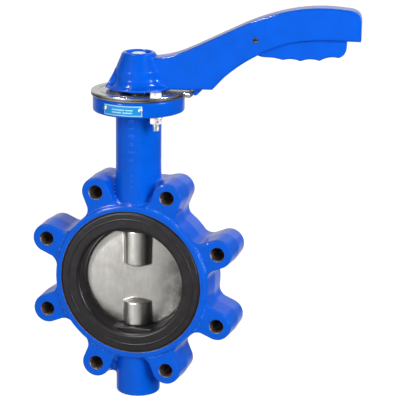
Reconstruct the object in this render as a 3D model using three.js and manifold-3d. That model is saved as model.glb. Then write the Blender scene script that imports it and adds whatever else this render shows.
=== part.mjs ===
// Lugged butterfly valve, DN100 PN16, with a hand lever that latches over a notch plate.
//
// Millimetres, +Z up along the stem, the pipe along Y with its front face toward -Y.
// The origin is where the pipe axis crosses the stem axis. The lever and disc stand
// ten degrees open, one notch from closed.

import * as THREE from "three";
import { mergeVertices } from "three/addons/utils/BufferGeometryUtils.js";
import Module from "manifold-3d";

const wasm = await Module();
wasm.setup();

// ---- Driving dimensions ----------------------------------------------------

const restOpening = 10; // degrees the lever stands open
const fit = 0.3; // gap left between neighbouring pieces

const bore = 50; // liner bore radius
const faceToFace = 52; // over the liner's sealing faces
const linerWall = 7; // liner thickness behind the bore
const linerLip = { radius: 67.3, thickness: 3 };

const stemLand = { level: 46.2, halfWidth: 20, halfLength: 18 }; // flats in the liner at the stem holes

const ring = { radius: 75, width: 50, chamfer: 2 };
const lug = { count: 8, circle: 90, headRadius: 13.4, width: 46, flare: 21, tapRadius: 7 };
const draft = 1; // how much the ring and lugs narrow from their middle to each face

const neck = { radius: 21.1, rootZ: 62, flare: 1.2 };
const shoulder = { halfWidth: 30, reach: 95, frontY: -9, backY: 22 }; // beside the neck and boss
const flange = { topZ: 174, thickness: 14.7, radius: 42.2, boltCircle: 35, holeRadius: 4.5 };
const boss = { radius: 20.7, bottomZ: -113.8 };
const stemBore = 11; // radius of the bore that holds the bushes

const stem = { radius: 9, square: 14, topZ: 204.5, bottomZ: -101, collarRadius: 10.4 };
const driveSide = Math.SQRT2 * (stem.radius - 1.5); // of the square tongue that turns the disc
const disc = { radius: 49.5, halfThickness: 5, rimHalf: 2.2, hubRadius: 13.6, hubEnd: 45.9 };
const discHub = { upperEdge: 13.3, lowerEdge: -23.6, rise: 3 }; // the hubs' inner ends, and their cones

const plate = { radius: 43.6, thickness: 4, holeRadius: 12 };
const sector = { tipRadius: 50.5, rootRadius: 46.6, notches: 10, pitch: 10, notchWidth: 4.4 };
const sectorMargin = 4.2; // degrees that the sector runs past its end notches

const bolt = { radius: 3, headFlats: 10, headHeight: 4, tipZ: 146.2, nutHeight: 5.2 };
const washer = { radius: 6.2, thickness: 1.2 };

const nameplate = { width: 37, height: 9.4, thickness: 0.8, azimuth: 268, midZ: 166.2 };

const lever = { baseZ: 180.3, topZ: 213, topRadius: 15, waistZ: 197, waistRadius: 21.5 };
const leverFoot = { radius: 29.6, thickness: 2.4 };
const arm = { width: 21, wall: 2.8, length: 201.3, roof: 4 };
const channel = { start: 45, end: 194.5 };
const pivot = { along: 107, z: 228.4, pinRadius: 2.4, holeRadius: 2.7 };
const latch = { gripWidth: 14, barWidth: 10, noseAlong: 50.9 };
const spring = { along: 136, bottomZ: 237.7, topZ: 248.8, radius: 4, wire: 0.7, turns: 5 };

const round = 48; // segments round large circles
const small = 20; // segments round bolts and pins

const flangeBottomZ = flange.topZ - flange.thickness;
const plateTopZ = flange.topZ + plate.thickness;
const boltOffset = flange.boltCircle * Math.SQRT1_2; // of each plate bolt, along X and along Y

// ---- Materials --------------------------------------------------------------

const material = (color, roughness, metalness) =>
  new THREE.MeshStandardMaterial({ color, roughness, metalness });

const bluePaint = material(0x0a5fe0, 0.3, 0);
const blackRubber = material(0x2a292c, 0.6, 0);
const stainless = material(0xb4b0a8, 0.35, 1);
const zinc = material(0xd0d2d4, 0.3, 1);
const springSteel = material(0x3c3d40, 0.45, 1);
const bronze = material(0xa9824c, 0.4, 1);
const labelFilm = material(0x3fa6d8, 0.45, 0);

// ---- Solids -----------------------------------------------------------------

const radians = THREE.MathUtils.degToRad;

// A geometry's closed surface as a manifold solid, facing outward.
function solid(geometry) {
  const bare = geometry.clone();
  bare.deleteAttribute("normal");
  bare.deleteAttribute("uv");
  const merged = mergeVertices(bare, 1e-4);
  const points = merged.attributes.position.array;
  const triangles = withoutSlivers(merged.index.array);
  const facing = signedVolume(points, triangles) < 0 ? turnedOver(triangles) : triangles;
  return new wasm.Manifold(
    new wasm.Mesh({ numProp: 3, vertProperties: points, triVerts: Uint32Array.from(facing) }),
  );
}

function withoutSlivers(index) {
  const kept = [];
  for (let i = 0; i < index.length; i += 3) {
    const [a, b, c] = [index[i], index[i + 1], index[i + 2]];
    if (a !== b && b !== c && c !== a) kept.push(a, b, c);
  }
  return kept;
}

function signedVolume(points, triangles) {
  const [a, b, c] = [new THREE.Vector3(), new THREE.Vector3(), new THREE.Vector3()];
  let sum = 0;
  for (let i = 0; i < triangles.length; i += 3) {
    a.fromArray(points, triangles[i] * 3);
    b.fromArray(points, triangles[i + 1] * 3);
    c.fromArray(points, triangles[i + 2] * 3);
    sum += a.dot(b.cross(c));
  }
  return sum;
}

function turnedOver(triangles) {
  const turned = [];
  for (let i = 0; i < triangles.length; i += 3) {
    turned.push(triangles[i], triangles[i + 2], triangles[i + 1]);
  }
  return turned;
}

const joined = (parts) => parts.reduce((whole, next) => whole.add(next));

const without = (body, cuts) => cuts.reduce((left, cut) => left.subtract(cut), body);

function named(name, body, look) {
  const data = body.getMesh();
  const geometry = new THREE.BufferGeometry();
  geometry.setAttribute("position", new THREE.BufferAttribute(data.vertProperties, 3));
  geometry.setIndex(new THREE.BufferAttribute(data.triVerts, 1));
  geometry.computeVertexNormals();
  const mesh = new THREE.Mesh(geometry, look);
  mesh.name = name;
  return mesh;
}

// A turned shape about Y (the pipe) from [radius, along] corners.
function turnedAboutPipe(corners, segments = round) {
  const profile = corners.map(([radius, along]) => new THREE.Vector2(radius, along));
  return new THREE.LatheGeometry(profile, segments);
}

// The same about Z (the stem), from [radius, z] corners.
const turnedAboutStem = (corners, segments = round) =>
  turnedAboutPipe(corners, segments).rotateX(Math.PI / 2);

// A full cylinder along Z between two heights.
function post(radius, lowZ, highZ, segments = small, x = 0, y = 0) {
  const geometry = new THREE.CylinderGeometry(radius, radius, highZ - lowZ, segments);
  return solid(geometry.rotateX(Math.PI / 2).translate(x, y, (lowZ + highZ) / 2));
}

// A collar along Z: a tube with square ends.
function sleeve(innerRadius, outerRadius, lowZ, highZ, segments = 24) {
  const corners = [
    [innerRadius, lowZ],
    [outerRadius, lowZ],
    [outerRadius, highZ],
    [innerRadius, highZ],
    [innerRadius, lowZ],
  ];
  return solid(turnedAboutStem(corners, segments));
}

// An outline in the XZ plane made into a slab of the given width about Y = 0.
function slab(outline, width, curveSegments = 8) {
  const options = { depth: width, bevelEnabled: false, curveSegments };
  const geometry = new THREE.ExtrudeGeometry(outline, options);
  return solid(geometry.rotateX(Math.PI / 2).translate(0, width / 2, 0));
}

// An outline in the XY plane raised between two heights.
function raised(outline, lowZ, highZ, curveSegments = 12) {
  const options = { depth: highZ - lowZ, bevelEnabled: false, curveSegments };
  return solid(new THREE.ExtrudeGeometry(outline, options).translate(0, 0, lowZ));
}

function block(width, depth, height, x, y, z) {
  return solid(new THREE.BoxGeometry(width, depth, height).translate(x, y, z));
}

// A hexagon with two corners on X, or turned by some degrees from that.
function hexagon(flats, turn = 0) {
  const outline = new THREE.Shape();
  const radius = flats / Math.sqrt(3);
  for (let side = 0; side < 6; side += 1) {
    const angle = radians(60 * side + turn);
    const place = [radius * Math.cos(angle), radius * Math.sin(angle)];
    if (side === 0) outline.moveTo(...place);
    else outline.lineTo(...place);
  }
  return outline;
}

// ---- Valve body -------------------------------------------------------------

// One lug seen along the pipe, pointing up, flaring where it meets the ring.
function lugOutline(extra) {
  const inRing = ring.radius - 7;
  const straight = lug.circle - 6;
  const root = ring.radius - draft + extra;
  const [head, foot] = [lug.headRadius + extra, lug.flare + extra];
  const outline = new THREE.Shape();
  outline.moveTo(-foot, inRing);
  outline.lineTo(foot, inRing);
  outline.lineTo(foot, root - 3);
  outline.quadraticCurveTo(head, root, head, straight);
  outline.lineTo(head, lug.circle);
  outline.absarc(0, lug.circle, head, 0, Math.PI, false);
  outline.lineTo(-head, straight);
  outline.quadraticCurveTo(-head, root, -foot, root - 3);
  outline.lineTo(-foot, inRing);
  return outline;
}

// A slab about Y = 0 that has one outline at its two faces and a fuller one in the middle,
// as a two-part mould leaves it.
function draftedSlab(faceOutline, middleOutline, width, curveSegments = 6) {
  const [face, middle] = [faceOutline, middleOutline].map((outline) =>
    outline.getPoints(curveSegments).slice(1),
  );
  const rows = [
    face.flatMap(({ x, y }) => [x, -width / 2, y]),
    middle.flatMap(({ x, y }) => [x, 0, y]),
    face.flatMap(({ x, y }) => [x, width / 2, y]),
  ];
  const count = face.length;
  const triangles = [];
  for (const row of [0, count]) {
    for (let i = 0; i < count; i += 1) {
      const [here, next] = [row + i, row + ((i + 1) % count)];
      triangles.push(here, next + count, next, here, here + count, next + count);
    }
  }
  for (const [a, b, c] of THREE.ShapeUtils.triangulateShape(face, [])) {
    triangles.push(a, b, c, a + 2 * count, c + 2 * count, b + 2 * count);
  }
  const geometry = new THREE.BufferGeometry();
  geometry.setAttribute("position", new THREE.Float32BufferAttribute(rows.flat(), 3));
  geometry.setIndex(triangles);
  return solid(geometry);
}

function lugAngles() {
  return Array.from({ length: lug.count }, (_, index) => (index + 0.5) * (360 / lug.count));
}

function ringBlank() {
  const half = ring.width / 2;
  const faceRadius = ring.radius - draft;
  const corners = [
    [0, -half],
    [faceRadius - ring.chamfer, -half],
    [faceRadius, -half + ring.chamfer],
    [ring.radius, 0],
    [faceRadius, half - ring.chamfer],
    [faceRadius - ring.chamfer, half],
    [0, half],
  ];
  return solid(turnedAboutPipe(corners, 64));
}

function neckBlank() {
  const corners = [
    [0, neck.rootZ],
    [neck.radius + neck.flare, neck.rootZ],
    [neck.radius, neck.rootZ + 34],
    [neck.radius, flangeBottomZ - 3],
    [neck.radius + 3, flangeBottomZ + 1],
    [0, flangeBottomZ + 1],
  ];
  return solid(turnedAboutStem(corners));
}

// The two saddles that fill the valleys beside the neck and the boss, out to the nearest lugs.
function shoulderBlanks() {
  const { halfWidth, reach, frontY, backY } = shoulder;
  const height = reach - neck.rootZ;
  return [-1, 1].map((side) => {
    const middle = [(frontY + backY) / 2, side * (neck.rootZ + height / 2)];
    return block(2 * halfWidth, backY - frontY, height, 0, ...middle);
  });
}

function flangeBlank() {
  const edge = 1.2;
  const corners = [
    [0, flangeBottomZ],
    [flange.radius - edge, flangeBottomZ],
    [flange.radius, flangeBottomZ + edge],
    [flange.radius, flange.topZ - edge],
    [flange.radius - edge, flange.topZ],
    [0, flange.topZ],
  ];
  return solid(turnedAboutStem(corners));
}

function bossBlank() {
  const edge = 1.5;
  const corners = [
    [0, boss.bottomZ],
    [boss.radius - edge, boss.bottomZ],
    [boss.radius, boss.bottomZ + edge],
    [boss.radius, -ring.radius - 6],
    [boss.radius + 4, -ring.radius + 6],
    [0, -ring.radius + 6],
  ];
  return solid(turnedAboutStem(corners, 48));
}

function linerSeat() {
  const back = bore + linerWall + fit;
  const pocket = faceToFace / 2 - linerLip.thickness - fit;
  const lipRadius = linerLip.radius + fit;
  const half = ring.width;
  const corners = [
    [0, -half],
    [lipRadius, -half],
    [lipRadius, -pocket],
    [back, -pocket],
    [back, pocket],
    [lipRadius, pocket],
    [lipRadius, half],
    [0, half],
  ];
  return solid(turnedAboutPipe(corners, 64));
}

function bodyCasting() {
  const heads = lugAngles().map((angle) =>
    draftedSlab(lugOutline(0), lugOutline(draft), lug.width).rotate([0, angle, 0]),
  );
  const blank = joined([
    ringBlank(),
    neckBlank(),
    ...shoulderBlanks(),
    flangeBlank(),
    bossBlank(),
    ...heads,
  ]);
  const taps = lugAngles().map((angle) => {
    const hole = new THREE.CylinderGeometry(lug.tapRadius, lug.tapRadius, 2 * lug.width, small);
    return solid(hole.translate(0, 0, lug.circle)).rotate([0, angle, 0]);
  });
  const flangeHoles = [45, 135, 225, 315].map((angle) =>
    post(
      flange.holeRadius,
      flangeBottomZ - 3,
      flange.topZ + 1,
      16,
      flange.boltCircle * Math.cos(radians(angle)),
      flange.boltCircle * Math.sin(radians(angle)),
    ),
  );
  const cuts = [
    linerSeat(),
    post(stemBore + fit, 0, flange.topZ + 1, 32),
    post(clipGroove.radius + fit, clipGroove.z - fit, clipGroove.z + clipGroove.height + fit, 32),
    post(stemBore + fit, boss.bottomZ - 1, 0, 32),
    post(plug.radius + fit, boss.bottomZ - 1, plug.topZ + fit, 32),
  ];
  return named("body_casting", without(blank, [...taps, ...flangeHoles, ...cuts]), bluePaint);
}

function seatLiner() {
  const face = faceToFace / 2;
  const lipBack = face - linerLip.thickness;
  const edge = 3.5;
  const half = [
    [bore, face - edge - 2],
    [bore + 1.2, face - edge + 1.4],
    [bore + edge, face],
    [linerLip.radius - 1, face],
    [linerLip.radius, face - 1],
    [linerLip.radius, lipBack],
    [bore + linerWall, lipBack],
  ];
  const mirrored = half.map(([radius, along]) => [radius, -along]).reverse();
  const profile = [...half, ...mirrored, half[0]];
  const tube = solid(turnedAboutPipe(profile, 64));
  const { level, halfWidth, halfLength } = stemLand;
  const height = bore + linerWall / 2 - level;
  const lands = [-1, 1].map((side) =>
    block(2 * halfWidth, 2 * halfLength, height, 0, 0, side * (level + height / 2)),
  );
  const stemHole = post(stem.radius + fit, -bore - linerWall - 2, bore + linerWall + 2, 32);
  return named("seat_liner", joined([tube, ...lands]).subtract(stemHole), blackRubber);
}

// ---- Stem bearings and seals --------------------------------------------------

const bushes = [
  { name: "lower_neck_bush", low: 60, high: 82 },
  { name: "middle_neck_bush", low: 112, high: 127 },
  { name: "upper_neck_bush", low: 146, high: 161 },
  { name: "bottom_bush", low: -84, high: -60 },
];
const seals = [
  { name: "stem_seal_lower", z: 132 },
  { name: "stem_seal_upper", z: 139 },
];
const collarZ = { low: 161.5, high: 165 };
const thrust = { z: 165.3, thickness: 1.6 };
const clipGroove = { radius: 12, z: 167.4, height: 1.4 };
const plug = { radius: 14, topZ: -103, bottomZ: -112.5, socketFlats: 12 };

const stemBushes = () =>
  bushes.map(({ name, low, high }) =>
    named(name, sleeve(stem.radius + 0.1, stemBore, low, high), bronze),
  );

function stemSeals() {
  const section = 0.9;
  return seals.map(({ name, z }) => {
    const torus = new THREE.TorusGeometry(stem.radius + section + 0.25, section, 6, 24);
    return named(name, solid(torus.translate(0, 0, z)), blackRubber);
  });
}

function thrustWasher() {
  const body = sleeve(stem.radius + fit, stemBore, thrust.z, thrust.z + thrust.thickness);
  return named("thrust_washer", body, bronze);
}

// An open spring ring that snaps into the neck's groove and keeps the stem in.
function retainingRing() {
  const band = sleeve(stem.radius + 0.6, clipGroove.radius, clipGroove.z, clipGroove.z + 1.2);
  const gap = block(8, clipGroove.radius, 4, 0, -clipGroove.radius, clipGroove.z);
  return named("retaining_ring", band.subtract(gap), springSteel);
}

function bottomPlug() {
  const body = post(plug.radius, plug.bottomZ, plug.topZ, 32);
  const socket = raised(hexagon(plug.socketFlats), plug.bottomZ - 1, plug.bottomZ + 5);
  return named("bottom_plug", body.subtract(socket), zinc);
}

const plugGasket = () =>
  named("plug_gasket", sleeve(6, stemBore - fit, plug.topZ + fit, plug.topZ + 1.3), blackRubber);

// ---- Notch plate and its fasteners ---------------------------------------------

function arcPoint(outline, radius, degrees) {
  outline.lineTo(radius * Math.cos(radians(degrees)), radius * Math.sin(radians(degrees)));
}

// The plate's edge: a round disc with a sector of ten notches under the lever.
function plateOutline() {
  const first = -sectorMargin;
  const last = (sector.notches - 1) * sector.pitch + sectorMargin;
  const outline = new THREE.Shape();
  outline.absarc(0, 0, plate.radius, radians(last), radians(360 + first), false);
  arcPoint(outline, sector.tipRadius, first);
  for (let notch = 0; notch < sector.notches; notch += 1) {
    const middle = notch * sector.pitch;
    const half = sector.notchWidth / 2;
    arcPoint(outline, sector.tipRadius, middle - half);
    arcPoint(outline, sector.rootRadius, middle - half);
    arcPoint(outline, sector.rootRadius, middle + half);
    arcPoint(outline, sector.tipRadius, middle + half);
  }
  arcPoint(outline, sector.tipRadius, last);
  return outline;
}

function notchPlate() {
  const body = raised(plateOutline(), flange.topZ, plateTopZ, 40);
  const holes = boltPlaces().map(({ x, y }) =>
    post(bolt.radius + fit, flange.topZ - 1, plateTopZ + 1, 16, x, y),
  );
  const centre = post(plate.holeRadius, flange.topZ - 1, plateTopZ + 1, 32);
  return named("notch_plate", without(body, [centre, ...holes]), zinc);
}

function boltPlaces() {
  return [
    { side: "front", x: boltOffset, y: -boltOffset },
    { side: "rear", x: -boltOffset, y: boltOffset },
  ];
}

function plateFasteners() {
  const washerLowZ = flangeBottomZ - washer.thickness;
  return boltPlaces().flatMap(({ side, x, y }) => {
    const sixSides = hexagon(bolt.headFlats, -15); // a flat of the head and nut faces the stem
    const head = raised(sixSides, plateTopZ, plateTopZ + bolt.headHeight);
    const shank = post(bolt.radius, bolt.tipZ, plateTopZ + 1, 16);
    const under = sleeve(bolt.radius + fit, washer.radius, washerLowZ, flangeBottomZ, small);
    const nutBlank = raised(sixSides, washerLowZ - bolt.nutHeight, washerLowZ);
    const nutBore = post(bolt.radius + fit, washerLowZ - bolt.nutHeight - 1, washerLowZ + 1, 16);
    const pieces = [
      [`plate_bolt_${side}`, head.add(shank)],
      [`plate_washer_${side}`, under],
      [`plate_nut_${side}`, nutBlank.subtract(nutBore)],
    ];
    return pieces.map(([name, body]) => named(name, body.translate([x, y, 0]), zinc));
  });
}

// The blank rating plate, rolled to the flange's edge, and its two rivets.
function ratingPlate() {
  const inner = flange.radius + fit;
  const half = THREE.MathUtils.radToDeg(nameplate.width / 2 / inner);
  const outline = new THREE.Shape();
  const from = radians(nameplate.azimuth - half);
  const to = radians(nameplate.azimuth + half);
  outline.absarc(0, 0, inner + nameplate.thickness, from, to, false);
  outline.absarc(0, 0, inner, to, from, true);
  const low = nameplate.midZ - nameplate.height / 2;
  const body = raised(outline, low, low + nameplate.height);
  return named("rating_plate", body, labelFilm);
}

function plateRivets() {
  const headRadius = 1.9;
  const spread = 22.5;
  return [-1, 1].map((side) => {
    const face = flange.radius + fit + nameplate.thickness + 0.1;
    const corners = [
      [0, face],
      [headRadius, face],
      [headRadius * 0.8, face + 0.8],
      [0, face + 1.1],
    ];
    const head = solid(turnedAboutPipe(corners, 16).rotateZ(-Math.PI / 2));
    const placed = head.rotate([0, 0, nameplate.azimuth + side * spread]);
    const name = side < 0 ? "rating_plate_rivet_left" : "rating_plate_rivet_right";
    return named(name, placed.translate([0, 0, nameplate.midZ + 1]), zinc);
  });
}

// ---- Disc and stems (drawn closed, then turned with the lever) -------------------

function discSolid() {
  const { radius, halfThickness, rimHalf } = disc;
  const face = [
    [radius, rimHalf],
    [radius - 3, rimHalf + 0.6],
    [radius * 0.65, halfThickness - 0.9],
    [radius * 0.3, halfThickness - 0.1],
    [0, halfThickness],
  ];
  const mirrored = face.map(([out, along]) => [out, -along]).reverse();
  const web = solid(turnedAboutPipe([...mirrored, ...face], 56));
  const hub = (edge, outer) => {
    const tip = edge - discHub.rise * Math.sign(outer);
    const profile = [
      [0, tip],
      [halfThickness, tip],
      [disc.hubRadius, edge],
      [disc.hubRadius, outer],
      [0, outer],
    ];
    return solid(turnedAboutStem(profile, 32));
  };
  const upper = hub(discHub.upperEdge, disc.hubEnd);
  const lower = hub(discHub.lowerEdge, -disc.hubEnd);
  const socketSide = driveSide + 2 * fit;
  const sockets = [
    block(socketSide, socketSide, 26, 0, 0, disc.hubEnd - 12),
    post(stem.radius + fit, -bore, -30, small),
    post(disc.radius, disc.hubEnd, bore, 32),
    post(disc.radius, -bore, -disc.hubEnd, 32),
  ];
  return named("disc", without(joined([web, upper, lower]), sockets), stainless);
}

function upperStem() {
  const driveEnd = disc.hubEnd - 24.5;
  const shaft = post(stem.radius, disc.hubEnd + 1, stem.topZ, small);
  const tongue = block(driveSide, driveSide, 40, 0, 0, driveEnd + 20);
  const collar = post(stem.collarRadius, collarZ.low, collarZ.high, small);
  const keep = block(stem.square, stem.square, 60, 0, 0, lever.baseZ + 30);
  const upper = post(stem.radius, lever.baseZ, stem.topZ, small).intersect(keep);
  const lower = shaft.subtract(post(2 * stem.radius, lever.baseZ, stem.topZ + 1, small));
  const tapped = post(screw.radius + fit, screw.bottomZ - fit, stem.topZ + 1, 16);
  const body = joined([lower, upper, tongue, collar]).subtract(tapped);
  return named("upper_stem", body, stainless);
}

const lowerStem = () =>
  named("lower_stem", post(stem.radius, stem.bottomZ, -30.5, small), stainless);

// ---- Hand lever ------------------------------------------------------------------

const screw = { radius: 4, bottomZ: 186, headFlats: 12, headHeight: 4.6 };
const leverSeatZ = stem.topZ + 0.5; // floor of the recess in the hub's top

// The arm seen from the side: a swan neck that rises from the hub to a level handle.
function armOutline(inset = 0) {
  const top = -inset;
  const outline = new THREE.Shape();
  outline.moveTo(0, lever.baseZ);
  outline.lineTo(48, lever.baseZ);
  outline.lineTo(56, lever.baseZ + 1);
  outline.lineTo(68.5, lever.baseZ + 1);
  outline.lineTo(79, 192.8);
  outline.bezierCurveTo(92, 204.7, 108, 215.1, 128, 222.5);
  outline.bezierCurveTo(140, 227.2, 155, 229.2, 175, 229.4);
  outline.lineTo(arm.length + top, 229.1);
  outline.lineTo(arm.length + top, 246.5 + top);
  outline.quadraticCurveTo(arm.length + top, 257.3 + top, 187 + top, 257.5 + top);
  outline.bezierCurveTo(160, 261 + top, 130, 257.1 + top, 96, 241.5 + top);
  outline.lineTo(54, 221 + top);
  outline.bezierCurveTo(42, 215.6 + top, 34, 211 + top, 16, 209 + top);
  outline.lineTo(0, 209 + top);
  return outline;
}

function leverHub() {
  const footTop = lever.baseZ + leverFoot.thickness;
  const corners = [
    [0, lever.baseZ],
    [leverFoot.radius, lever.baseZ],
    [leverFoot.radius, footTop - 1],
    [leverFoot.radius - 1, footTop],
    [lever.waistRadius + 3.4, footTop + 1.4],
    [lever.waistRadius + 1, footTop + 4],
    [lever.waistRadius, footTop + 8],
    [lever.waistRadius, lever.waistZ],
    [lever.topRadius, lever.topZ - 0.8],
    [lever.topRadius - 0.8, lever.topZ],
    [0, lever.topZ],
  ];
  return solid(turnedAboutStem(corners, 48));
}

// The rib that braces the hub on the side away from the arm.
function hubRib() {
  const outline = new THREE.Shape();
  outline.moveTo(0, lever.baseZ);
  outline.lineTo(-leverFoot.radius + 0.5, lever.baseZ);
  outline.lineTo(-leverFoot.radius + 0.5, lever.baseZ + 2);
  outline.lineTo(-lever.waistRadius + 0.5, lever.waistZ);
  outline.lineTo(0, lever.waistZ);
  return slab(outline, 16);
}

function leverArm() {
  const blank = joined([leverHub(), hubRib(), slab(armOutline(), arm.width, 10)]);
  const inside = slab(armOutline(arm.roof), arm.width - 2 * arm.wall, 10);
  const openBelow = inside.add(inside.translate([0, 0, -6]));
  const span = channel.end - channel.start;
  const middle = (channel.start + channel.end) / 2;
  const hollow = openBelow.intersect(block(span, arm.width, 100, middle, 0, lever.baseZ + 40));
  const pinHole = new THREE.CylinderGeometry(pivot.holeRadius, pivot.holeRadius, 40, 16);
  const cuts = [
    hollow,
    solid(pinHole.translate(pivot.along, 0, pivot.z)),
    post(11.5, leverSeatZ, lever.topZ + 1, 32),
    block(stem.square + 2 * fit, stem.square + 2 * fit, 60, 0, 0, lever.baseZ),
    underHubHollow(),
  ];
  return named("lever_arm", without(blank, cuts), bluePaint);
}

function underHubHollow() {
  const corners = [
    [0, lever.baseZ - 1],
    [26, lever.baseZ - 1],
    [25, lever.baseZ + 2],
    [16, lever.baseZ + 10],
    [0, lever.baseZ + 10],
  ];
  return solid(turnedAboutStem(corners, 32));
}

function leverScrew() {
  const seat = leverSeatZ + 1.8 + 2 * fit;
  const head = raised(hexagon(screw.headFlats), seat, seat + screw.headHeight);
  const shank = post(screw.radius, screw.bottomZ, seat + 1, 16);
  return named("lever_screw", head.add(shank), zinc);
}

const leverWasher = () => {
  const low = leverSeatZ + fit;
  return named("lever_washer", sleeve(screw.radius + fit, 10.5, low, low + 1.8), zinc);
};

// A rolled spring pin: a tube slit along its length.
function pivotPin() {
  const length = arm.width - 1.6;
  const tube = solid(turnedAboutPipe(
    [
      [1.5, -length / 2],
      [pivot.pinRadius, -length / 2],
      [pivot.pinRadius, length / 2],
      [1.5, length / 2],
      [1.5, -length / 2],
    ],
    16,
  ));
  const slit = block(4, arm.width, 0.7, 2.5, 0, 0);
  const pin = tube.subtract(slit).translate([pivot.along, 0, pivot.z]);
  return named("latch_pivot_pin", pin, springSteel);
}

// ---- Latch ------------------------------------------------------------------------

// The bar that runs inside the arm from the pivot down to the nose at the notch plate.
function latchBarOutline() {
  const nose = latch.noseAlong;
  const outline = new THREE.Shape();
  outline.moveTo(nose, 174.9);
  outline.lineTo(nose + 2.9, 174.9);
  outline.lineTo(nose + 9.4, 181.5);
  outline.lineTo(nose + 14, 187.5);
  outline.lineTo(82, 201);
  outline.lineTo(102, 216.5);
  outline.lineTo(118, 216);
  outline.lineTo(118, 236);
  outline.lineTo(103, 236);
  outline.lineTo(84, 220);
  outline.lineTo(nose + 6, 196);
  outline.lineTo(nose, 188);
  return outline;
}

// The grip: a deep blade with three finger hollows along its lower edge.
function gripOutline() {
  const outline = new THREE.Shape();
  outline.moveTo(103, 218);
  outline.quadraticCurveTo(108, 212.2, 116, 212.2);
  outline.quadraticCurveTo(124, 212.5, 131.5, 210.2);
  outline.quadraticCurveTo(139.5, 212.6, 147.5, 209.6);
  outline.quadraticCurveTo(156, 213.3, 164.5, 210.4);
  outline.quadraticCurveTo(173, 215.6, 181.3, 213.6);
  outline.quadraticCurveTo(188.6, 215.6, 188.6, 224.5);
  outline.lineTo(188.6, 236);
  outline.lineTo(176, 239);
  outline.lineTo(112, 236);
  outline.quadraticCurveTo(103, 232, 103, 218);
  return outline;
}

function latchTrigger() {
  const bar = slab(latchBarOutline(), latch.barWidth);
  const grip = slab(gripOutline(), latch.gripWidth, 6);
  const hole = new THREE.CylinderGeometry(pivot.pinRadius + 0.15, pivot.pinRadius + 0.15, 40, 16);
  const pin = solid(hole.translate(pivot.along, 0, pivot.z));
  return named("latch_trigger", bar.add(grip).subtract(pin), bluePaint);
}

// The coil that holds the grip down and the nose in.
function latchSpring() {
  class Coil extends THREE.Curve {
    getPoint(t, target = new THREE.Vector3()) {
      const angle = 2 * Math.PI * spring.turns * t;
      const low = spring.bottomZ + spring.wire;
      const high = spring.topZ - spring.wire;
      return target.set(
        spring.along + spring.radius * Math.cos(angle),
        spring.radius * Math.sin(angle),
        THREE.MathUtils.lerp(low, high, t),
      );
    }
  }
  const section = new THREE.Shape();
  section.absarc(0, 0, spring.wire, 0, 2 * Math.PI, false);
  const options = { steps: 60, extrudePath: new Coil(), bevelEnabled: false, curveSegments: 5 };
  return named("latch_spring", solid(new THREE.ExtrudeGeometry(section, options)), springSteel);
}

// ---- Assembly ---------------------------------------------------------------------

const turning = new THREE.Group();
turning.rotation.z = radians(restOpening);
turning.add(
  discSolid(),
  upperStem(),
  lowerStem(),
  leverArm(),
  leverWasher(),
  leverScrew(),
  pivotPin(),
  latchTrigger(),
  latchSpring(),
);

const valve = new THREE.Group();
valve.add(
  bodyCasting(),
  seatLiner(),
  ...stemBushes(),
  ...stemSeals(),
  thrustWasher(),
  retainingRing(),
  bottomPlug(),
  plugGasket(),
  notchPlate(),
  ...plateFasteners(),
  ratingPlate(),
  ...plateRivets(),
  turning,
);

export default valve;
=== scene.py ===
"""Looks of the lugged butterfly valve: castings, rubber, steel, paint, light and camera.

Lengths are in millimetres until a mesh is made; the meshes themselves are in metres.
"""

from math import cos, degrees, hypot, pi, radians, sin, sqrt, tan

import bmesh
import bpy
import numpy as np
from mathutils import Matrix, Vector

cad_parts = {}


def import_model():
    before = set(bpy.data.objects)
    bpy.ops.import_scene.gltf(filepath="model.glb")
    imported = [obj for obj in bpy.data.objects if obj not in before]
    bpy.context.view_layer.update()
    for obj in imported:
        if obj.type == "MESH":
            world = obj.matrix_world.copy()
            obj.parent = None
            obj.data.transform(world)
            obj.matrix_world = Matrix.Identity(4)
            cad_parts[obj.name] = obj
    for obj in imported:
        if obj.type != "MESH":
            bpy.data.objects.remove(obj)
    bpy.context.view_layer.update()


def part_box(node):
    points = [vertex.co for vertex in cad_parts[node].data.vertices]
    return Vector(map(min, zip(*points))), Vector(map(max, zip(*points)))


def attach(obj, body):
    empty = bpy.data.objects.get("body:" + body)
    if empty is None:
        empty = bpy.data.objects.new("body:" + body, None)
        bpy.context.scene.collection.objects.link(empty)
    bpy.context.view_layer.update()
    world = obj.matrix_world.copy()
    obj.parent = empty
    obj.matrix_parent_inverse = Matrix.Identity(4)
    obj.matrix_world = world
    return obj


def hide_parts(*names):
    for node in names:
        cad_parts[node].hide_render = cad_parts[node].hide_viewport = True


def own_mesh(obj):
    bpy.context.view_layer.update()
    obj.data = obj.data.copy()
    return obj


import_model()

MM = 0.001
OPENING = radians(10)  # the lever and disc stand one notch open

# ---- Driving dimensions, as in the design -------------------------------------

BORE = 50
LINER = {"back": 57, "lip": 67.3, "lip_back": 23, "face": 26, "straight": 12, "mouth": 3.4, "roll": 1.8}
BEAD = {"radius": 60.5, "half": 0.9, "height": 0.5}
STEM_LAND = {"level": 46.2, "root": 53.5, "half_width": 20, "half_length": 18}
RING = {"radius": 75, "half": 25, "face_step": 0.5}
LUG = {"root": 70, "circle": 90, "radius": 13.4, "half": 23, "fillet": 7.5}
TAP = {"radius": 7.25, "depth": 0.7, "pitch": 2}
DRAFT = 1  # how much the ring and lugs narrow from their middle to each face
NECK = {"radius": 21.1, "low": 62}
FLARE = {"by": 1.2, "top": 110, "height": 36}
SHOULDER = {"half_width": 30, "reach": 95, "front": -9, "back": 22}
FLANGE = {"radius": 42.2, "low": 159.3, "high": 174, "circle": 35, "hole": 4.5}
BOSS = {"radius": 20.7, "low": -113.8}
STEM_BORE = 11.3
CLIP_GROOVE = {"radius": 12.3, "low": 167.1, "high": 169.1}
PLUG_BORE = {"radius": 14.3, "top": -102.7}
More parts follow.
